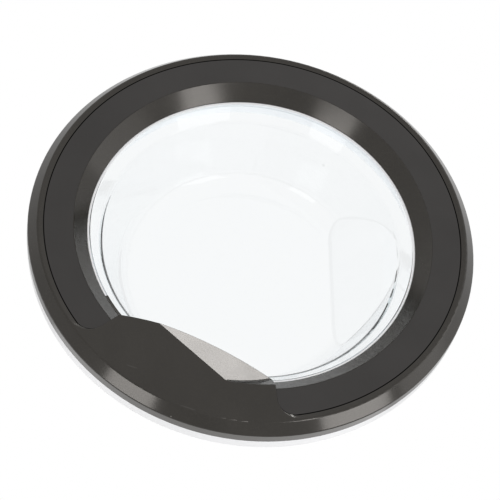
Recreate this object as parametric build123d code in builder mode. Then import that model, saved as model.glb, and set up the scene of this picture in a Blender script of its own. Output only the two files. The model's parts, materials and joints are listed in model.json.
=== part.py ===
from build123d import *
from math import cos, degrees, hypot, radians, sin
import os

# Round porthole door of a front-loading washing machine, upright and closed.
# +Z is up and -Y is the front. The origin is on the door's axis, in the plane of the cabinet's front panel.
# Depths are measured back from the door's front plane, towards +Y. Angles turn from +X towards +Z.

# Door ring
front_height = 46.5  # front plane of the door to the cabinet
ring_radius = 235.0
ring_width = 62.0  # outer edge to the window's edge
chamfer_width = 9.7
chamfer_depth = 12.5
chamfer_round = 2.5
skirt_depth = 23.4  # rear edge of the dark skirt
wall = 3.0
front_wall = 6.0  # under the inlay, before its groove is cut
bevel_width = 15.0
bevel_depth = 15.8
lip_thickness = 1.2
seat_width = 14.5  # window's edge to the outer edge of the glass seat

# Inlay in the ring
band_margin = 16.6  # ring's outer edge to the inlay
band_setback = 0.6  # bevel's outer edge to the inlay
band_drop = 0.9  # front plane to the inlay's face and the bevel's edge
band_thickness = 2.1
band_corner = 17.0
band_shadow_gap = 0.8
band_fit = 0.15
slope_width = 4.4  # rim's slope down to the inlay, running out along the handle

# Handle, bridging the window's edge
handle_angle = -23.0
handle_half_angle = 28.5
handle_overhang = 29.4  # window's edge to the middle of the bowed edge
handle_low_step = 5.4  # low end of the bowed edge, out from the window's edge
handle_high_step = -1.5
handle_root = 2.0
handle_depth = 16.4
handle_corner = 4.0
crease_start_inset = 6.3  # behind the middle of the bowed edge
crease_start_height = -39.8
crease_end_inset = 35.6
crease_end_height = 41.8
facet_slope = 17.5
scoop_setback = 4.4
scoop_round = 5.0
handle_round = 0.6  # along the handle's edges and the rim's slope
lip_tab_angle = 10.5
lip_tab_width = 3.0
lip_tab_edge = 0.5

# Glass bowl and its seal
glass_thickness = 5.0
seal_thickness = 1.0
flange_setback = 4.5  # flange inside the edge of its seat
mouth_step = 3.0  # mouth inside the window's edge
mouth_round = 2.5
shoulder_step = 13.0
shoulder_drop = 14.6
shoulder_round = 14.0
bowl_step = 29.0
bowl_drop = 72.0
bowl_round = 24.0
deflector_step = 31.0  # flat's edge at the bottom of the bowl, inside the bowl's edge there
seal_reveal = 2.2  # seal's white edge inside the window's edge
seal_edge = 0.3
seal_fit = 0.2

# White rear frame
frame_gap = 0.2
spigot_depth = 14.0
spigot_fit = 0.4
spigot_wall = 2.6
rear_gap = 6.5  # rear face to the cabinet
rear_inset = 1.1
rear_round = 3.0
neck_inset = 4.5  # neck inside the edge of the glass flange
neck_wall = 5.5
neck_lip = 2.5

# Screws that hold the two frames together
screw_inset = 28.0
screw_count = 8
screw_start_angle = 22.5
screw_radius = 2.0
screw_length = 18.0
screw_fit = 0.1
head_radius = 4.2
head_height = 2.8
head_draft = 15.0
head_fit = 0.6
head_recess = 4.0
boss_radius = 6.5
boss_height = 9.5  # on the rear frame, from its rear face

# Hinge at the left
pin_inset = 13.0
pin_setback = 13.5  # in front of the rear face
pin_radius = 3.5
pin_half_length = 34.0
pin_fit = 0.02
running_fit = 0.05
bush_wall = 1.45
bush_flange_radius = 6.6
bush_flange = 0.7
lug_inner_height = 20.0
lug_thickness = 8.0
lug_eye_radius = 7.5
lug_arm = 12.0
lug_seat_gap = 4.5  # lug to the glass seat
lug_gap = 1.0
lug_slot_gap = 1.5
lug_round = 3.0
knuckle_radius = 6.8
knuckle_end = 1.5
keeper_gap = 0.3
plate_shift = 1.0  # middle of the plate, from the middle of the lug's foot towards the pin
plate_width = 21.0
plate_height = 112.0
plate_thickness = 4.0
plate_corner = 5.0
hinge_hole_radius = 3.2
hinge_hole_margin = 11.0

# Latch at the right
hook_inset = 30.0
hook_setback = 11.5  # pivot in front of the rear face
hook_half_thickness = 5.0
hook_eye_radius = 7.0
hook_shank = 10.0
hook_reach = 22.0  # behind the cabinet's front
hook_tooth = 8.0
hook_tooth_length = 11.0
hook_round = 1.2
hook_pin_radius = 2.5
cheek_inner = 10.0
cheek_thickness = 2.0
cheek_width = 16.0
latch_plate_thickness = 2.0
latch_neck_gap = 1.5
latch_rim_gap = 8.5
latch_plate_height = 78.0
latch_plate_corner = 5.0
latch_slot_offset = -2.0
latch_slot_width = 23.0
latch_slot_height = 13.0
latch_opening_width = 30.0
latch_opening_height = 30.0
latch_screw_margin = 8.0
latch_screw_length = 12.0
latch_boss_height = 13.5
spring_wire = 0.5
spring_coil_radius = 4.4
spring_coil_gap = 0.15
spring_turns = 2
spring_leg = 9.0
spring_gap = 0.8

# Rubber buffers
buffer_angles = (45.0, -45.0)
buffer_radius = 7.0
buffer_height = 3.5
buffer_stem_radius = 4.0
buffer_stem_fit = 0.1
buffer_barb_radius = 5.2
buffer_barb_height = 3.0

# Radii worked out from the sizes above
window_radius = ring_radius - ring_width
bevel_radius = window_radius + bevel_width
seat_radius = window_radius + seat_width
band_outer_radius = ring_radius - band_margin
band_inner_radius = bevel_radius + band_setback
groove_inner = band_inner_radius - band_fit
groove_outer = band_outer_radius + band_shadow_gap
groove_corner = band_corner + band_shadow_gap
slope_radius = groove_outer + slope_width
slope_corner = (slope_radius**2 - groove_outer**2 + 2 * groove_outer * groove_corner) / (2 * slope_radius)
handle_reach = window_radius - handle_overhang
handle_low_radius = window_radius + handle_low_step
handle_high_radius = window_radius + handle_high_step
handle_root_radius = bevel_radius + handle_root
scoop_radius = bevel_radius - scoop_setback
crease_start = (handle_reach + crease_start_inset, crease_start_height)
crease_end = (handle_reach + crease_end_inset, crease_end_height)
flange_radius = seat_radius - flange_setback
mouth_radius = window_radius - mouth_step
shoulder_radius = mouth_radius - shoulder_step
bowl_radius = shoulder_radius - bowl_step
deflector_height = bowl_radius - deflector_step
seal_inner_radius = window_radius - seal_reveal
seal_outer_radius = seat_radius - seal_edge
neck_radius = flange_radius - neck_inset
neck_outer_radius = neck_radius + neck_wall
skirt_inner_radius = ring_radius - wall
spigot_radius = skirt_inner_radius - spigot_fit
spigot_inner_radius = spigot_radius - spigot_wall
screw_circle = ring_radius - screw_inset

# Depths worked out from the sizes above
lip_depth = bevel_depth + lip_thickness
flange_depth = lip_depth + seal_thickness
neck_depth = flange_depth + glass_thickness
shoulder_depth = flange_depth + shoulder_drop
bowl_depth = shoulder_depth + bowl_drop
rear_depth = front_height - rear_gap
rear_wall_depth = rear_depth - wall
boss_split_depth = rear_depth - boss_height
head_seat_depth = rear_depth - head_recess
latch_boss_depth = rear_depth - latch_boss_height
pin_depth = rear_depth - pin_setback

# Places worked out from the sizes above
rear_y = -rear_gap
pin_x = pin_inset - ring_radius
pin_y = pin_depth - front_height
lug_reach = ring_radius - seat_radius - pin_inset - lug_seat_gap
plate_centre = pin_x + lug_reach - lug_arm / 2 - plate_shift
lug_outer_height = lug_inner_height + lug_thickness
knuckle_half_height = pin_half_length + knuckle_end
bush_radius = pin_radius + running_fit + bush_wall
hook_pivot = ring_radius - hook_inset
hook_y = rear_y - hook_setback
latch_plate_width = ring_radius - neck_outer_radius - latch_neck_gap - latch_rim_gap
latch_plate_centre = neck_outer_radius + latch_neck_gap + latch_plate_width / 2
latch_slot_centre = hook_pivot + latch_slot_offset
latch_screw_spacing = latch_plate_height - 2 * latch_screw_margin
latch_back_y = rear_y + latch_plate_thickness
cheek_outer = cheek_inner + cheek_thickness


def depth_y(depth):
    return depth - front_height


def door_face(depth, turn=0.0):
    """Plane across the door at a depth, facing forward, with its x axis turned from +X towards +Z."""
    angle = radians(turn)
    return Plane(origin=(0, depth_y(depth), 0), x_dir=(cos(angle), 0, sin(angle)), z_dir=(0, -1, 0))


def polar(radius, angle):
    return (radius * cos(radians(angle)), radius * sin(radians(angle)))


def section(corners, rounds=()):
    """Face through the door's axis with corners at (radius, depth), some of them rounded."""
    with BuildSketch(Plane.XY) as profile:
        with BuildLine():
            Polyline(*[(radius, depth_y(depth)) for radius, depth in corners], close=True)
        make_face()
        for corner, size in rounds:
            place = (corner[0], depth_y(corner[1]), 0)
            fillet(profile.vertices().sort_by_distance(place)[0], size)
    return profile.sketch


def mitred(line, thickness):
    """Line of (radius, depth) points moved sideways by a thickness, with mitred corners."""
    normals = []
    for start, end in zip(line, line[1:]):
        length = hypot(end[0] - start[0], end[1] - start[1])
        normals.append(((end[1] - start[1]) / length, (start[0] - end[0]) / length))
    moved = []
    for index, point in enumerate(line):
        before = normals[max(index - 1, 0)]
        after = normals[min(index, len(normals) - 1)]
        share = thickness / (1 + before[0] * after[0] + before[1] * after[1])
        moved.append((point[0] + share * (before[0] + after[0]), point[1] + share * (before[1] + after[1])))
    return moved


def band_face(depth, outer, inner, end_gap, corner):
    """C-shaped face of the inlay, open at the handle, with its outer corners rounded."""
    end = handle_half_angle + degrees(end_gap / inner)
    with BuildSketch(door_face(depth, handle_angle)) as profile:
        with BuildLine():
            ThreePointArc(polar(outer, end), (-outer, 0), polar(outer, -end))
            Line(polar(outer, -end), polar(inner, -end))
            ThreePointArc(polar(inner, -end), (-inner, 0), polar(inner, end))
            Line(polar(inner, end), polar(outer, end))
        make_face()
        fillet(profile.vertices().sort_by_distance((0, 0, 0))[-2:], corner)
    return profile.sketch


def handle_face(depth, inset):
    """Face of the handle, with radial flanks and a bowed edge, drawn in by an inset."""
    low = polar(handle_low_radius, -handle_half_angle)
    high = polar(handle_high_radius, handle_half_angle)
    root_low = polar(handle_root_radius, -handle_half_angle)
    root_high = polar(handle_root_radius, handle_half_angle)
    with BuildSketch(door_face(depth, handle_angle)) as profile:
        with BuildLine():
            ThreePointArc(low, (handle_reach, 0), high)
            Line(high, root_high)
            ThreePointArc(root_high, (handle_root_radius, 0), root_low)
            Line(root_low, low)
        make_face()
        for end in (low, high):
            fillet(profile.vertices().sort_by_distance((*end, 0))[0], handle_corner)
        if inset:
            offset(amount=-inset, mode=Mode.REPLACE)
    return profile.sketch


def wedge(shift):
    """Space beyond the bowl's flat, moved outwards by a shift."""
    run = bowl_depth - shoulder_depth
    rise = shoulder_radius - deflector_height
    lift = shift * hypot(run, rise) / run
    below = 2 * bowl_depth - shoulder_depth
    with BuildPart() as space:
        with BuildSketch(Plane.YZ):
            with BuildLine():
                Polyline(
                    (depth_y(shoulder_depth), shoulder_radius + lift),
                    (depth_y(below), deflector_height - rise + lift),
                    (depth_y(below), 2 * flange_radius),
                    (depth_y(shoulder_depth), 2 * flange_radius),
                    close=True,
                )
            make_face()
        extrude(amount=flange_radius, both=True)
    return space.part


os.makedirs("parts", exist_ok=True)

# Scoop that leaves the slanted facet on the handle, a cone above the plane through the crease
handle_plane = door_face(0, handle_angle)
crease_from = handle_plane.from_local_coords(Vector(*crease_start, 0))
crease_to = handle_plane.from_local_coords(Vector(*crease_end, 0))
crease_direction = (crease_to - crease_from).normalized()
facet_normal = handle_plane.z_dir.rotate(Axis((0, 0, 0), crease_direction), -facet_slope)
facet_plane = Plane(origin=crease_from, x_dir=crease_direction, z_dir=facet_normal)

with BuildPart() as scoop:
    scoop_depth = 2 * handle_depth
    cone = [
        (0, -scoop_depth),
        (scoop_radius + scoop_depth, -scoop_depth),
        (scoop_radius - scoop_depth, scoop_depth),
        (0, scoop_depth),
    ]
    revolve(section(cone), axis=Axis.Y)
    with BuildSketch(facet_plane):
        Circle(2 * scoop_radius)
    extrude(amount=scoop_depth, mode=Mode.INTERSECT)
    fillet(scoop.faces().sort_by_distance(crease_from)[0].edges(), scoop_round)

# Hollow behind the handle's skin, where fingers reach in from the window
with BuildPart() as grip_hollow:
    extrude(handle_face(wall, wall), amount=wall - handle_depth)
    add(scoop.part.moved(Location((0, wall, 0))), mode=Mode.SUBTRACT)

# Dark outer frame: chamfered rim, bevel round the window, handle and glass seat in one moulding
bevel_run = bevel_width / (bevel_depth - band_drop)
chamfer_run = chamfer_width / chamfer_depth


def bevel_back(depth):
    """Radius of the bevel wall's back at a depth."""
    return bevel_radius - bevel_run * (depth - band_drop) + wall * hypot(1, bevel_run)


def chamfer_back_depth(radius):
    """Depth of the chamfer wall's back at a radius."""
    edge = ring_radius - chamfer_width - wall * hypot(1, chamfer_run)
    return (radius - edge) / chamfer_run


chamfer_back = ring_radius - chamfer_width + chamfer_run * front_wall - wall * hypot(1, chamfer_run)
seat_top = lip_depth - wall

with BuildPart() as outer_frame:
    extrude(handle_face(0, 0), amount=-handle_depth)
    add(scoop.part, mode=Mode.SUBTRACT)
    add(grip_hollow.part, mode=Mode.SUBTRACT)
    rim = [
        (ring_radius, skirt_depth),
        (ring_radius, chamfer_depth),
        (ring_radius - chamfer_width, 0),
        (bevel_radius + bevel_run * band_drop, 0),
        (window_radius, bevel_depth),
        (window_radius, lip_depth),
        (seat_radius, lip_depth),
        (seat_radius, seat_top),
        (bevel_back(seat_top), seat_top),
        (bevel_back(front_wall), front_wall),
        (chamfer_back, front_wall),
        (skirt_inner_radius, chamfer_back_depth(skirt_inner_radius)),
        (skirt_inner_radius, skirt_depth),
    ]
    revolve(section(rim, [(rim[1], chamfer_round), (rim[2], chamfer_round)]), axis=Axis.Y)
    tab = [
        (window_radius + lip_tab_width, lip_depth),
        (window_radius, bevel_depth),
        (window_radius - lip_tab_width, lip_depth - lip_tab_edge),
        (window_radius - lip_tab_width, lip_depth),
    ]
    tab_start = section(tab).rotate(Axis.Y, handle_half_angle - handle_angle)
    revolve(tab_start, axis=Axis.Y, revolution_arc=lip_tab_angle)
    loft(
        [
            band_face(0, slope_radius, window_radius, 0, slope_corner),
            band_face(band_drop, groove_outer, window_radius, 0, groove_corner),
        ],
        mode=Mode.SUBTRACT,
    )
    groove = band_face(band_drop, groove_outer, groove_inner, 0, groove_corner)
    extrude(groove, amount=-band_thickness, mode=Mode.SUBTRACT)
    flank = handle_plane.from_local_coords(Vector(*polar(handle_root_radius, handle_half_angle), 0))
    for place in (flank, (crease_from + crease_to) / 2):
        fillet(outer_frame.edges().sort_by_distance(place)[0], handle_round)
    with BuildSketch(door_face(front_wall)):
        with PolarLocations(screw_circle, screw_count, screw_start_angle):
            Circle(boss_radius)
    extrude(amount=front_wall - boss_split_depth)
    with BuildSketch(door_face(boss_split_depth)):
        with PolarLocations(screw_circle, screw_count, screw_start_angle):
            Circle(screw_radius + screw_fit)
    extrude(amount=boss_split_depth - front_wall, mode=Mode.SUBTRACT)

    # Ribs that close the seats of the hinge pin
    keeper_low = lug_outer_height + lug_gap + keeper_gap
    keeper_high = pin_half_length - keeper_gap
    with BuildSketch(door_face(front_wall)):
        with Locations((pin_x, 0)):
            Rectangle(2 * (pin_radius - keeper_gap), 2 * (lug_inner_height - lug_gap - keeper_gap))
        for side in (1, -1):
            with Locations((pin_x, side * (keeper_low + keeper_high) / 2)):
                Rectangle(2 * (pin_radius - keeper_gap), keeper_high - keeper_low)
    extrude(amount=front_wall + pin_radius + pin_fit - pin_depth)
outer_frame.part.label = "outer_frame"
export_step(outer_frame.part, "parts/outer_frame.step")

# Satin inlay, flush with the bevel's edge
with BuildPart() as trim_band:
    inlay = band_face(band_drop, band_outer_radius, band_inner_radius, band_fit, band_corner)
    extrude(inlay, amount=-band_thickness)
trim_band.part.label = "trim_band"
export_step(trim_band.part, "parts/trim_band.step")

# Glass bowl: flange, shoulder and plug with a flat at the top that turns the water back
bowl_line = [
    (flange_radius, flange_depth),
    (mouth_radius, flange_depth),
    (shoulder_radius, shoulder_depth),
    (bowl_radius, bowl_depth),
    (0, bowl_depth),
]
glass_line = mitred(bowl_line, glass_thickness)

with BuildPart() as bowl_space:
    hollow = [(0, flange_depth)] + bowl_line[1:]
    revolve(section(hollow, [(bowl_line[2], shoulder_round), (bowl_line[3], bowl_round)]), axis=Axis.Y)
    add(wedge(0), mode=Mode.SUBTRACT)

with BuildPart() as glass_bowl:
    body = [(0, flange_depth), bowl_line[0]] + glass_line
    outer_round = bowl_round + glass_thickness
    revolve(section(body, [(glass_line[2], shoulder_round), (glass_line[3], outer_round)]), axis=Axis.Y)
    add(wedge(glass_thickness), mode=Mode.SUBTRACT)
    add(bowl_space.part, mode=Mode.SUBTRACT)
    mouth_point = (mouth_radius, depth_y(flange_depth), 0)
    fillet(glass_bowl.edges().filter_by(GeomType.CIRCLE).sort_by_distance(mouth_point)[0], mouth_round)
glass_bowl.part.label = "glass_bowl"
export_step(glass_bowl.part, "parts/glass_bowl.step")

# Soft L-section ring between the frame's lip and the glass flange
with BuildPart() as glass_seal:
    ring = [
        (seal_inner_radius, lip_depth),
        (seal_outer_radius, lip_depth),
        (seal_outer_radius, neck_depth),
        (flange_radius + seal_fit, neck_depth),
        (flange_radius + seal_fit, flange_depth),
        (seal_inner_radius, flange_depth),
    ]
    revolve(section(ring), axis=Axis.Y)
glass_seal.part.label = "glass_seal"
export_step(glass_seal.part, "parts/glass_seal.step")

# Block for the hinge knuckles, kept inside the skirt
with BuildPart() as knuckles:
    with BuildSketch(Plane.XY):
        with Locations((pin_x, pin_y)):
            Circle(knuckle_radius)
        with Locations((pin_x, (pin_y + rear_y) / 2)):
            Rectangle(2 * knuckle_radius, rear_y - pin_y)
    extrude(amount=knuckle_half_height, both=True)
    with BuildSketch(door_face(0)):
        Circle(spigot_radius)
    extrude(amount=-front_height, mode=Mode.INTERSECT)

# White rear frame: spigot in the skirt, neck on the glass flange, hinge knuckles, latch opening
with BuildPart() as rear_frame:
    shell = [
        (spigot_radius, spigot_depth),
        (spigot_radius, skirt_depth + frame_gap),
        (ring_radius, skirt_depth + frame_gap),
        (ring_radius - rear_inset, rear_depth),
        (neck_outer_radius, rear_depth),
        (neck_outer_radius, rear_depth + neck_lip),
        (neck_radius, rear_depth + neck_lip),
        (neck_radius, neck_depth),
        (neck_outer_radius, neck_depth),
        (neck_outer_radius, rear_wall_depth),
        (spigot_inner_radius, rear_wall_depth),
        (spigot_inner_radius, spigot_depth),
    ]
    revolve(section(shell, [(shell[3], rear_round)]), axis=Axis.Y)

    # Bosses for the frame screws
    with BuildSketch(door_face(boss_split_depth)):
        with PolarLocations(screw_circle, screw_count, screw_start_angle):
            Circle(boss_radius)
    extrude(amount=boss_split_depth - rear_wall_depth)
    with BuildSketch(door_face(rear_depth)):
        with PolarLocations(screw_circle, screw_count, screw_start_angle):
            Circle(head_radius + head_fit)
    extrude(amount=head_recess, mode=Mode.SUBTRACT)
    with BuildSketch(door_face(rear_depth)):
        with PolarLocations(screw_circle, screw_count, screw_start_angle):
            Circle(screw_radius + screw_fit)
    extrude(amount=rear_depth - boss_split_depth, mode=Mode.SUBTRACT)

    # Knuckles with seats for the hinge pin, open to the front and parted by slots for the two lugs
    add(knuckles.part)
    slot_inner_x = pin_x + lug_reach + lug_slot_gap
    with BuildSketch(Plane.XZ.offset(-rear_y)):
        for side in (1, -1):
            with Locations(((slot_inner_x - ring_radius) / 2, side * (lug_inner_height + lug_thickness / 2))):
                Rectangle(slot_inner_x + ring_radius, lug_thickness + 2 * lug_gap)
    extrude(amount=rear_depth, mode=Mode.SUBTRACT)
    with BuildSketch(Plane.XY):
        with Locations((pin_x, pin_y)):
            Circle(pin_radius + pin_fit)
        with Locations((pin_x, pin_y - knuckle_radius / 2)):
            Rectangle(2 * (pin_radius + pin_fit), knuckle_radius)
    extrude(amount=pin_half_length, both=True, mode=Mode.SUBTRACT)

    # Opening and screw bosses for the latch
    with BuildSketch(door_face(latch_boss_depth)):
        with Locations((latch_plate_centre, 0)):
            with GridLocations(0, latch_screw_spacing, 1, 2):
                Circle(boss_radius)
    extrude(amount=latch_boss_depth - rear_wall_depth)
    with BuildSketch(door_face(rear_depth)):
        with Locations((hook_pivot, 0)):
            Rectangle(latch_opening_width, latch_opening_height)
        with Locations((latch_plate_centre, 0)):
            with GridLocations(0, latch_screw_spacing, 1, 2):
                Circle(screw_radius + screw_fit)
    extrude(amount=rear_depth - latch_boss_depth, mode=Mode.SUBTRACT)

    # Holes for the buffers
    with BuildSketch(door_face(rear_depth)):
        for angle in buffer_angles:
            with Locations(polar(screw_circle, angle)):
                Circle(buffer_stem_radius + buffer_stem_fit)
    extrude(amount=wall, mode=Mode.SUBTRACT)
rear_frame.part.label = "rear_frame"
export_step(rear_frame.part, "parts/rear_frame.step")

# Pan-head screws, driven from the back
with BuildPart() as frame_screws:
    with BuildSketch(door_face(head_seat_depth)):
        with PolarLocations(screw_circle, screw_count, screw_start_angle):
            Circle(screw_radius)
    extrude(amount=screw_length)
    with BuildSketch(door_face(head_seat_depth)):
        with PolarLocations(screw_circle, screw_count, screw_start_angle):
            Circle(head_radius)
    extrude(amount=-head_height, taper=head_draft)
frame_screws.part.label = "frame_screws"
export_step(frame_screws.part, "parts/frame_screws.step")

# Hinge bracket on the cabinet: plate with two swan-neck lugs that leave room for the rim to swing in
with BuildPart() as hinge_bracket:
    with BuildSketch(Plane.XZ):
        with Locations((plate_centre, 0)):
            RectangleRounded(plate_width, plate_height, plate_corner)
            with GridLocations(0, plate_height - 2 * hinge_hole_margin, 1, 2):
                Circle(hinge_hole_radius, mode=Mode.SUBTRACT)
    extrude(amount=plate_thickness)
    for bottom in (lug_inner_height, -lug_outer_height):
        with BuildSketch(Plane.XY.offset(bottom)) as lug:
            with BuildLine():
                Polyline(
                    (pin_x, pin_y - lug_arm / 2),
                    (pin_x + lug_reach, pin_y - lug_arm / 2),
                    (pin_x + lug_reach, 0),
                    (pin_x + lug_reach - lug_arm, 0),
                    (pin_x + lug_reach - lug_arm, pin_y + lug_arm / 2),
                    (pin_x, pin_y + lug_arm / 2),
                    close=True,
                )
            make_face()
            for corner in ((lug_reach, -lug_arm / 2), (lug_reach - lug_arm, lug_arm / 2)):
                place = (pin_x + corner[0], pin_y + corner[1], 0)
                fillet(lug.vertices().sort_by_distance(place)[0], lug_round)
            with Locations((pin_x, pin_y)):
                Circle(lug_eye_radius)
                Circle(bush_radius + pin_fit, mode=Mode.SUBTRACT)
        extrude(amount=lug_thickness)
hinge_bracket.part.label = "hinge_bracket"
export_step(hinge_bracket.part, "parts/hinge_bracket.step")

# Steel hinge pin, laid in the rear frame's seats and kept there by the outer frame's ribs
with BuildPart() as hinge_pin:
    with BuildSketch(Plane.XY):
        with Locations((pin_x, pin_y)):
            Circle(pin_radius)
    extrude(amount=pin_half_length - running_fit, both=True)
hinge_pin.part.label = "hinge_pin"
export_step(hinge_pin.part, "parts/hinge_pin.step")

# Flanged bushes in the lugs, with the flange on top under the knuckle that rests on it
for bush_name, bottom in (("hinge_bush_upper", lug_inner_height), ("hinge_bush_lower", -lug_outer_height)):
    with BuildPart() as hinge_bush:
        with BuildSketch(Plane.XY.offset(bottom)):
            with Locations((pin_x, pin_y)):
                Circle(bush_radius)
                Circle(pin_radius + running_fit, mode=Mode.SUBTRACT)
        extrude(amount=lug_thickness)
        with BuildSketch(Plane.XY.offset(bottom + lug_thickness)):
            with Locations((pin_x, pin_y)):
                Circle(bush_flange_radius)
                Circle(pin_radius + running_fit, mode=Mode.SUBTRACT)
        extrude(amount=bush_flange)
    hinge_bush.part.label = bush_name
    export_step(hinge_bush.part, f"parts/{bush_name}.step")

# Pressed latch plate with two cheeks that carry the hook's pin
with BuildPart() as latch_plate:
    with BuildSketch(Plane.XZ.offset(-latch_back_y)):
        with Locations((latch_plate_centre, 0)):
            RectangleRounded(latch_plate_width, latch_plate_height, latch_plate_corner)
            with GridLocations(0, latch_screw_spacing, 1, 2):
                Circle(screw_radius + screw_fit, mode=Mode.SUBTRACT)
        with Locations((latch_slot_centre, 0)):
            Rectangle(latch_slot_width, latch_slot_height, mode=Mode.SUBTRACT)
    extrude(amount=latch_plate_thickness)
    for bottom in (cheek_inner, -cheek_outer):
        with BuildSketch(Plane.XY.offset(bottom)):
            with Locations((hook_pivot, (hook_y + latch_back_y) / 2)):
                Rectangle(cheek_width, latch_back_y - hook_y)
            with Locations((hook_pivot, hook_y)):
                Circle(cheek_width / 2)
                Circle(hook_pin_radius + pin_fit, mode=Mode.SUBTRACT)
        extrude(amount=cheek_thickness)
latch_plate.part.label = "latch_plate"
export_step(latch_plate.part, "parts/latch_plate.step")

# Latch hook, with a sloped tooth that snaps behind the lock's keeper
with BuildPart() as latch_hook:
    with BuildSketch(Plane.XY.offset(-hook_half_thickness)) as hook_side:
        with BuildLine():
            Polyline(
                (hook_pivot - hook_shank / 2, hook_y),
                (hook_pivot + hook_shank / 2, hook_y),
                (hook_pivot + hook_shank / 2, hook_reach - hook_tooth_length),
                (hook_pivot + hook_shank / 2 + hook_tooth, hook_reach - hook_tooth_length),
                (hook_pivot + hook_shank / 2 + hook_tooth / 2, hook_reach - hook_tooth_length / 2),
                (hook_pivot, hook_reach),
                (hook_pivot - hook_shank / 2, hook_reach),
                close=True,
            )
        make_face()
        fillet(hook_side.vertices(), hook_round)
        with Locations((hook_pivot, hook_y)):
            Circle(hook_eye_radius)
            Circle(hook_pin_radius + running_fit, mode=Mode.SUBTRACT)
    extrude(amount=2 * hook_half_thickness)
latch_hook.part.label = "latch_hook"
export_step(latch_hook.part, "parts/latch_hook.step")

# Pin through the cheeks, with a head at the top
with BuildPart() as hook_pin:
    with BuildSketch(Plane.XY.offset(-cheek_outer)):
        with Locations((hook_pivot, hook_y)):
            Circle(hook_pin_radius)
    extrude(amount=2 * cheek_outer)
    with BuildSketch(Plane.XY.offset(cheek_outer)):
        with Locations((hook_pivot, hook_y)):
            Circle(head_radius)
    extrude(amount=head_height / 2)
hook_pin.part.label = "hook_pin"
export_step(hook_pin.part, "parts/hook_pin.step")

# Torsion spring on the pin, above the hook
spring_pitch = 2 * spring_wire + spring_coil_gap
spring_bottom = hook_half_thickness + spring_gap + spring_wire

with BuildPart() as hook_spring:
    with BuildLine() as spring_path:
        coil = Helix(
            pitch=spring_pitch,
            height=spring_pitch * spring_turns,
            radius=spring_coil_radius,
            center=(hook_pivot, hook_y, spring_bottom),
        )
        front_leg = Line(coil @ 0 - spring_leg * (coil % 0), coil @ 0)
        Line(coil @ 1, coil @ 1 + spring_leg * (coil % 1))
    with BuildSketch(Plane(origin=front_leg @ 0, z_dir=front_leg % 0)):
        Circle(spring_wire)
    sweep(path=spring_path.wire())
hook_spring.part.label = "hook_spring"
export_step(hook_spring.part, "parts/hook_spring.step")

# Screws that hold the latch plate
with BuildPart() as latch_screws:
    with BuildSketch(Plane.XZ.offset(-latch_back_y)):
        with Locations((latch_plate_centre, 0)):
            with GridLocations(0, latch_screw_spacing, 1, 2):
                Circle(screw_radius)
    extrude(amount=latch_screw_length)
    with BuildSketch(Plane.XZ.offset(-latch_back_y)):
        with Locations((latch_plate_centre, 0)):
            with GridLocations(0, latch_screw_spacing, 1, 2):
                Circle(head_radius)
    extrude(amount=-head_height, taper=head_draft)
latch_screws.part.label = "latch_screws"
export_step(latch_screws.part, "parts/latch_screws.step")

# Mushroom buffers that meet the cabinet when the door shuts
with BuildPart() as door_buffers:
    for angle in buffer_angles:
        with BuildSketch(door_face(rear_depth)):
            with Locations(polar(screw_circle, angle)):
                Circle(buffer_radius)
        extrude(amount=-buffer_height)
        with BuildSketch(door_face(rear_depth)):
            with Locations(polar(screw_circle, angle)):
                Circle(buffer_stem_radius)
        extrude(amount=wall)
        with BuildSketch(door_face(rear_wall_depth)):
            with Locations(polar(screw_circle, angle)):
                Circle(buffer_barb_radius)
        extrude(amount=buffer_barb_height)
door_buffers.part.label = "door_buffers"
export_step(door_buffers.part, "parts/door_buffers.step")
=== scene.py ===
import bpy
import json
from mathutils import Matrix, Vector

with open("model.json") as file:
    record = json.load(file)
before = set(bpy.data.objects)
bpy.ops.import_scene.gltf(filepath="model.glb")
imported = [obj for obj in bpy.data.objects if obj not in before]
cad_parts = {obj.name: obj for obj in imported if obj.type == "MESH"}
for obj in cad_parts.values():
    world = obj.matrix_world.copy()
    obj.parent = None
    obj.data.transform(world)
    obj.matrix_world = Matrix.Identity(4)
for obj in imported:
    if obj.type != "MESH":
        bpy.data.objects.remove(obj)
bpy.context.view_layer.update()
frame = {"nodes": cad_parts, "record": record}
nodes = frame["nodes"]
front_centre = Vector((0.0, -0.0465, 0.0))


# Places on the door, in metres in the shared frame. A mark has its start, its end and its width.

scratches = (
    ((0.1681, -0.0465, -0.1323), (0.1719, -0.0465, -0.1194), 0.0016),
    ((0.2101, -0.0463, -0.0791), (0.2159, -0.0463, -0.0613), 0.0016),
)
rim_chip = ((0.2173, -0.0352, -0.0866), (0.2181, -0.0352, -0.0851), 0.0014)
glass_speck = ((-0.1227, 0.0072, 0.0840), (-0.1197, 0.0072, 0.0873), 0.0045)

# Soft edges: the painted shade in the gap round the inlay and the painted light on the rear frame's inside,
# from the axis, and the gap's top in depth

gap_inner_edge = (0.2181, 0.2183)
gap_outer_edge = (0.2193, 0.2195)
gap_top = (-0.0458, -0.0456)
inside_edge = (0.1795, 0.1815)


# Materials

white = (1.0, 1.0, 1.0)
flake_colour = (0.080, 0.075, 0.066)
scratch_colour = (0.034, 0.032, 0.029)
chip_colour = (0.16, 0.15, 0.14)
grain_colour = (0.045, 0.044, 0.044)
speck_colour = (0.88, 0.88, 0.88)
# Painted shade: black for the walls of the gap round the inlay, where shadow falls
gap_shade_colour = (0.004, 0.004, 0.004)
# Painted light: a whiter white on the rear frame's shaded inside near the axis
painted_light_white = (0.93, 0.93, 0.94)
dark_gloss = 0.42
glass_bend = 1.5
glass_tint = (0.70, 0.77, 0.80, 1.0)
glass_tint_density = 45.0


def new_material(name):
    """A fresh material with its node tree and its shader."""
    mat = bpy.data.materials.new(name)
    mat.use_nodes = True
    tree = mat.node_tree
    return mat, tree, tree.nodes["Principled BSDF"]


def add(tree, kind, **values):
    """A node with some of its properties and unlinked inputs set."""
    node = tree.nodes.new(kind)
    for key, value in values.items():
        if key in node.inputs:
            node.inputs[key].default_value = value
        else:
            setattr(node, key, value)
    return node


def place(tree):
    """Coordinates in metres, fixed to the object."""
    return add(tree, "ShaderNodeTexCoord").outputs["Object"]


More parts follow.
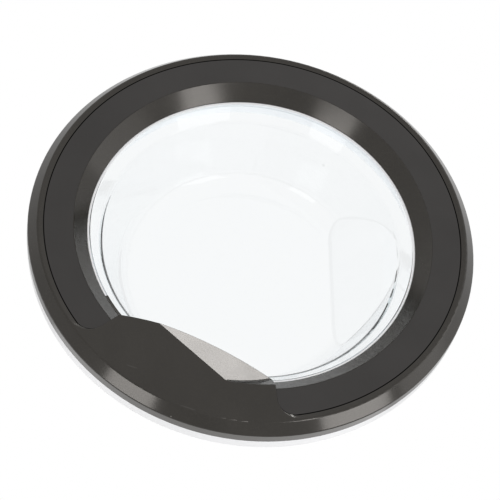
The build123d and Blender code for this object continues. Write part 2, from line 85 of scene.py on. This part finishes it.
def noise(tree, scale, detail=3.0, rough=0.55, vector=None):
    """Soft noise with its scale per metre, at the object's coordinates or at a vector."""
    node = add(tree, "ShaderNodeTexNoise", Scale=scale, Detail=detail, Roughness=rough)
    tree.links.new(vector or place(tree), node.inputs["Vector"])
    return node.outputs["Fac"]


def ramp(tree, value, low, high, start=0.3, end=0.7):
    """Value between start and end turned into a colour from low to high."""
    node = add(tree, "ShaderNodeValToRGB")
    node.color_ramp.elements[0].position = start
    node.color_ramp.elements[1].position = end
    node.color_ramp.elements[0].color = (*low, 1.0)
    node.color_ramp.elements[1].color = (*high, 1.0)
    tree.links.new(value, node.inputs["Fac"])
    return node.outputs["Color"]


def span(tree, value, low, high, start=0.3, end=0.7):
    """Value between start and end turned into a number from low to high."""
    node = add(tree, "ShaderNodeMapRange")
    node.inputs["From Min"].default_value = start
    node.inputs["From Max"].default_value = end
    node.inputs["To Min"].default_value = low
    node.inputs["To Max"].default_value = high
    tree.links.new(value, node.inputs["Value"])
    return node.outputs["Result"]


def mix(tree, factor, first, second):
    """First colour where the factor is 0, second where it is 1. A colour may be a socket or a value."""
    node = add(tree, "ShaderNodeMix", data_type="RGBA")
    tree.links.new(factor, node.inputs[0])
    for colour, socket in ((first, node.inputs[6]), (second, node.inputs[7])):
        if isinstance(colour, bpy.types.NodeSocket):
            tree.links.new(colour, socket)
        else:
            socket.default_value = (*colour, 1.0)
    return node.outputs[2]


def bump(tree, shader, height, distance, strength=1.0):
    """Height given to the shader as fine relief, distance metres deep."""
    node = add(tree, "ShaderNodeBump", Distance=distance, Strength=strength)
    tree.links.new(height, node.inputs["Height"])
    tree.links.new(node.outputs["Normal"], shader.inputs["Normal"])


def mark(tree, start, end, width):
    """1 on a thin mark from start to end, 0 elsewhere."""
    run = Vector(end) - Vector(start)
    spot = add(tree, "ShaderNodeMapping", vector_type="TEXTURE")
    spot.inputs["Location"].default_value = (Vector(start) + Vector(end)) / 2
    spot.inputs["Rotation"].default_value = run.to_track_quat("X", "Z").to_euler()
    spot.inputs["Scale"].default_value = (run.length / 2, width / 2, width / 2)
    tree.links.new(place(tree), spot.inputs["Vector"])
    far = add(tree, "ShaderNodeVectorMath", operation="LENGTH")
    tree.links.new(spot.outputs["Vector"], far.inputs[0])
    return span(tree, far.outputs["Value"], 1.0, 0.0, 0.7, 1.0)


def from_axis(tree):
    """Distance from the door's axis in metres."""
    flat = add(tree, "ShaderNodeVectorMath", operation="MULTIPLY")
    flat.inputs[1].default_value = (1.0, 0.0, 1.0)
    tree.links.new(place(tree), flat.inputs[0])
    far = add(tree, "ShaderNodeVectorMath", operation="LENGTH")
    tree.links.new(flat.outputs["Vector"], far.inputs[0])
    return far.outputs["Value"]


def both(tree, first, second):
    """1 where both masks are 1."""
    node = add(tree, "ShaderNodeMath", operation="MULTIPLY")
    tree.links.new(first, node.inputs[0])
    tree.links.new(second, node.inputs[1])
    return node.outputs[0]


def paint_gap_shade(tree, shader, colour, gap):
    """Colour on the shader, with painted shade on the walls of the gap round the inlay: black and without
    gloss, in place of the shadow that falls in the gap.
    """
    tree.links.new(mix(tree, gap, colour, gap_shade_colour), shader.inputs["Base Color"])
    tree.links.new(gap, shader.inputs["Metallic"])


def pearl():
    """Dark brown-grey pearl lacquer: fine bright flake, a soft gloss, faint handling marks, and painted
    shade, black, on the walls of the gap round the inlay.
    """
    mat, tree, shader = new_material("pearl_frame")
    flake = noise(tree, 2600.0, 1.0)
    cloud = noise(tree, 18.0, 4.0)
    base = ramp(tree, cloud, (0.0150, 0.0135, 0.0110), (0.0200, 0.0180, 0.0150))
    colour = mix(tree, span(tree, flake, 0.0, 1.0, 0.62, 0.78), base, flake_colour)
    for scratch in scratches:
        colour = mix(tree, mark(tree, *scratch), colour, scratch_colour)
    colour = mix(tree, mark(tree, *rim_chip), colour, chip_colour)
    radius = from_axis(tree)
    depth = add(tree, "ShaderNodeSeparateXYZ")
    tree.links.new(place(tree), depth.inputs[0])
    past_inlay = span(tree, radius, 0.0, 1.0, *gap_inner_edge)
    before_slope = span(tree, radius, 1.0, 0.0, *gap_outer_edge)
    below_top = span(tree, depth.outputs["Y"], 0.0, 1.0, *gap_top)
    # Painted shade on the gap's walls: between the inlay's edge and the slope, below the gap's top
    paint_gap_shade(tree, shader, colour, both(tree, both(tree, past_inlay, before_slope), below_top))
    tree.links.new(span(tree, cloud, 0.13, 0.18), shader.inputs["Roughness"])
    shader.inputs["Specular IOR Level"].default_value = dark_gloss
    shader.inputs["Specular Tint"].default_value = (1.0, 0.955, 0.91, 1.0)
    bump(tree, shader, flake, 0.000004)
    return mat


def satin():
    """Charcoal inlay with a fine satin grain and painted shade, black, on its outer edge in the gap."""
    mat, tree, shader = new_material("satin_band")
    grain = noise(tree, 3200.0, 2.0)
    cloud = noise(tree, 12.0, 4.0)
    base = ramp(tree, cloud, (0.0150, 0.0138, 0.0130), (0.0210, 0.0194, 0.0184))
    colour = mix(tree, span(tree, grain, 0.0, 0.5, 0.5, 0.8), base, grain_colour)
    # Painted shade on the inlay's outer edge, which faces the shadowed gap
    paint_gap_shade(tree, shader, colour, span(tree, from_axis(tree), 0.0, 1.0, *gap_inner_edge))
    tree.links.new(span(tree, cloud, 0.18, 0.23), shader.inputs["Roughness"])
    shader.inputs["Specular IOR Level"].default_value = dark_gloss
    shader.inputs["Specular Tint"].default_value = (1.0, 0.97, 0.95, 1.0)
    bump(tree, shader, grain, 0.00002)
    return mat


def clear_glass():
    """Clear pressed glass, faintly blue-green and wavy, which lets light pass to what is behind."""
    mat, tree, shader = new_material("clear_glass")
    output = tree.nodes["Material Output"]
    wave = noise(tree, 9.0, 2.0)
    smear = noise(tree, 26.0, 5.0)
    tree.links.new(span(tree, smear, 0.0, 0.05, 0.45, 0.75), shader.inputs["Roughness"])
    speck = mark(tree, *glass_speck)
    tree.links.new(mix(tree, speck, white, speck_colour), shader.inputs["Base Color"])
    shader.inputs["IOR"].default_value = glass_bend
    shader.inputs["Transmission Weight"].default_value = 1.0
    bump(tree, shader, wave, 0.0004, 0.4)
    body = add(tree, "ShaderNodeVolumeAbsorption", Color=glass_tint, Density=glass_tint_density)
    tree.links.new(body.outputs["Volume"], output.inputs["Volume"])
    path = add(tree, "ShaderNodeLightPath")
    light = add(tree, "ShaderNodeMath", operation="MAXIMUM")
    tree.links.new(path.outputs["Is Shadow Ray"], light.inputs[0])
    tree.links.new(path.outputs["Is Diffuse Ray"], light.inputs[1])
    through = add(tree, "ShaderNodeMixShader")
    tree.links.new(light.outputs[0], through.inputs[0])
    tree.links.new(shader.outputs[0], through.inputs[1])
    tree.links.new(add(tree, "ShaderNodeBsdfTransparent").outputs[0], through.inputs[2])
    tree.links.new(through.outputs[0], output.inputs["Surface"])
    return mat


def moulded(name, low, high, rough, grain_scale, grain_depth, inside=None):
    """Moulded plastic or rubber with a fine skin, and where wanted a whiter inside near the axis: painted
    light that lifts the shade on the rear frame's inside.
    """
    mat, tree, shader = new_material(name)
    grain = noise(tree, grain_scale, 3.0)
    cloud = noise(tree, 14.0, 4.0)
    colour = ramp(tree, cloud, low, high)
    if inside:
        # Painted light: the whiter colour near the axis, where the inside lies in shade
        colour = mix(tree, span(tree, from_axis(tree), 1.0, 0.0, *inside_edge), colour, inside)
    tree.links.new(colour, shader.inputs["Base Color"])
    tree.links.new(span(tree, cloud, rough - 0.05, rough + 0.05), shader.inputs["Roughness"])
    bump(tree, shader, grain, grain_depth)
    return mat


def metal(name, low, high, rough, stretch):
    """Plated or drawn steel, with marks stretched along one direction."""
    mat, tree, shader = new_material(name)
    mapping = add(tree, "ShaderNodeMapping", Scale=stretch)
    tree.links.new(place(tree), mapping.inputs["Vector"])
    marks = noise(tree, 900.0, 4.0, vector=mapping.outputs["Vector"])
    cloud = noise(tree, 60.0, 4.0)
    tree.links.new(ramp(tree, cloud, low, high), shader.inputs["Base Color"])
    tree.links.new(span(tree, marks, rough - 0.08, rough + 0.08), shader.inputs["Roughness"])
    shader.inputs["Metallic"].default_value = 1.0
    bump(tree, shader, marks, 0.00003)
    return mat


# Darker and lighter colour, roughness, grain per metre, its depth, and for the frame the colour of its
# inside, whiter as painted light on its shaded inside
mouldings = {
    "white_frame": ((0.75, 0.75, 0.76), (0.79, 0.79, 0.80), 0.34, 900.0, 0.00003, painted_light_white),
    "seal_rubber": ((0.90, 0.90, 0.91), (0.94, 0.94, 0.95), 0.50, 1400.0, 0.00005),
    "bush_nylon": ((0.70, 0.69, 0.64), (0.78, 0.77, 0.73), 0.45, 1500.0, 0.00003),
    "buffer_rubber": ((0.25, 0.25, 0.26), (0.33, 0.33, 0.34), 0.65, 1200.0, 0.00006),
}

# Darker and lighter colour, roughness, and how far the marks are stretched: the smaller, the longer
metals = {
    "screw_steel": ((0.50, 0.50, 0.52), (0.66, 0.66, 0.67), 0.32, (1.0, 1.0, 1.0)),
    "pin_steel": ((0.55, 0.55, 0.56), (0.66, 0.66, 0.66), 0.25, (1.0, 1.0, 0.05)),
    "hinge_casting": ((0.46, 0.46, 0.46), (0.58, 0.58, 0.57), 0.40, (1.0, 1.0, 0.2)),
    "latch_steel": ((0.50, 0.50, 0.51), (0.62, 0.62, 0.63), 0.34, (1.0, 1.0, 0.1)),
    "hook_casting": ((0.38, 0.38, 0.39), (0.52, 0.52, 0.52), 0.38, (1.0, 0.2, 1.0)),
}

looks = {"pearl_frame": pearl(), "satin_band": satin(), "clear_glass": clear_glass()}
for name, values in mouldings.items():
    looks[name] = moulded(name, *values)
for name, values in metals.items():
    looks[name] = metal(name, *values)
slots = {part["node"]: part["material_slot"] for part in frame["record"]["subparts"]}
for name, part in nodes.items():
    part.data.materials.clear()
    part.data.materials.append(looks[slots[name]])


# Camera: in front of the door, towards the latch, a little below, and turned so that the top is at the right

near_side = Vector((0.9755, 0.0, -0.2198))
across = Vector((0.2198, 0.0, 0.9755))
straight_out = Vector((0.0, -1.0, 0.0))
tilt_sin, tilt_cos = 0.5478, 0.8366
roll_sin, roll_cos = 0.2380, 0.9713
distance = 2.1977

to_camera = tilt_sin * near_side + tilt_cos * straight_out
along = tilt_cos * near_side - tilt_sin * straight_out
image_right = roll_cos * across - roll_sin * along
image_up = -(roll_sin * across + roll_cos * along)
lens = bpy.data.cameras.new("camera")
lens.lens = 152.04
lens.sensor_width = 36.0
lens.shift_x = -0.0093
lens.shift_y = -0.0438
camera = bpy.data.objects.new("camera", lens)
rotation = Matrix((image_right, image_up, to_camera)).transposed()
camera.matrix_world = Matrix.Translation(front_centre + distance * to_camera) @ rotation.to_4x4()
bpy.context.scene.collection.objects.link(camera)
bpy.context.scene.camera = camera


# Studio: white surroundings, a pale floor well below the door, strips for the gloss and a fill in the bowl

world = bpy.data.worlds.new("studio")
bpy.context.scene.world = world
world.use_nodes = True
backdrop = world.node_tree.nodes["Background"]
backdrop.inputs["Color"].default_value = (*white, 1.0)
backdrop.inputs["Strength"].default_value = 1.0

receivers = {}
for group_name, link_state, lit in (
    ("all_but_glass", "EXCLUDE", ("glass_bowl",)),
    ("glass_alone", "INCLUDE", ("glass_bowl",)),
    ("frames_alone", "INCLUDE", ("outer_frame", "rear_frame")),
    ("rear_alone", "INCLUDE", ("rear_frame",)),
):
    group = bpy.data.collections.new(group_name)
    for position, node_name in enumerate(lit):
        group.objects.link(nodes[node_name])
        group.collection_objects[position].light_linking.link_state = link_state
    receivers[group_name] = group


def strip(name, spot, power, lit="all_but_glass"):
    """A softbox at a spot, seen as gloss only, on the pieces of one of the groups."""
    direction, reach, long_way, width, length = spot
    lamp = bpy.data.lights.new(name, "AREA")
    lamp.shape = "RECTANGLE"
    lamp.size = width
    lamp.size_y = length
    lamp.energy = power
    box = bpy.data.objects.new(name, lamp)
    back = Vector(direction).normalized()
    side = Vector(long_way).cross(back).normalized()
    turn = Matrix((side, back.cross(side), back)).transposed()
    box.matrix_world = Matrix.Translation(front_centre + reach * back) @ turn.to_4x4()
    box.visible_camera = False
    box.visible_diffuse = False
    box.light_linking.receiver_collection = receivers[lit]
    bpy.context.scene.collection.objects.link(box)


# Direction from the door's front, distance, direction of the long side, width and length, in metres
upper_spot = ((0.730, -0.309, 0.611), 1.94, (0.015, -0.886, -0.463), 0.84, 1.54)
lower_spot = ((0.666, -0.382, -0.641), 1.34, (-0.264, -0.941, 0.214), 0.48, 0.85)
side_spot = ((-0.80, -0.463, 0.378), 2.4, (0.0, 0.0, 1.0), 0.53, 0.53)
top_spot = ((0.12, -0.18, 0.97), 1.6, (1.0, 0.0, 0.0), 0.95, 1.25)
back_spot = ((0.360, 0.929, -0.081), 1.36, across, 1.20, 2.00)

strip("strip_upper", upper_spot, 23.0)
strip("strip_lower", lower_spot, 7.6)
strip("strip_side", side_spot, 11.6)
strip("glint_upper", upper_spot, 2.6, "glass_alone")
strip("glint_lower", lower_spot, 0.9, "glass_alone")
strip("strip_top", top_spot, 3.2)
strip("strip_back", back_spot, 6.4, "frames_alone")

fill_lamp = bpy.data.lights.new("bowl_fill", "POINT")
fill_lamp.energy = 0.32
fill_lamp.shadow_soft_size = 0.05
fill = bpy.data.objects.new("bowl_fill", fill_lamp)
fill.location = (0.0, -0.012, 0.0)
fill.visible_camera = False
fill.visible_glossy = False
fill.visible_transmission = False
fill.light_linking.receiver_collection = receivers["rear_alone"]
bpy.context.scene.collection.objects.link(fill)

floor_half = 12.0
floor_level = -1.2
corner_signs = ((-1, -1), (1, -1), (1, 1), (-1, 1))
corners = [(floor_half * x_sign, floor_half * y_sign, floor_level) for x_sign, y_sign in corner_signs]
floor_mesh = bpy.data.meshes.new("floor")
floor_mesh.from_pydata(corners, [], [(0, 1, 2, 3)])
floor = bpy.data.objects.new("floor", floor_mesh)
bpy.context.scene.collection.objects.link(floor)
floor_look, floor_tree, floor_shader = new_material("floor")
tone = ramp(floor_tree, noise(floor_tree, 3.0), (0.86, 0.86, 0.86), (0.90, 0.90, 0.90))
floor_tree.links.new(tone, floor_shader.inputs["Base Color"])
floor_shader.inputs["Roughness"].default_value = 0.9
floor_mesh.materials.append(floor_look)

bpy.context.scene.view_settings.view_transform = "Standard"
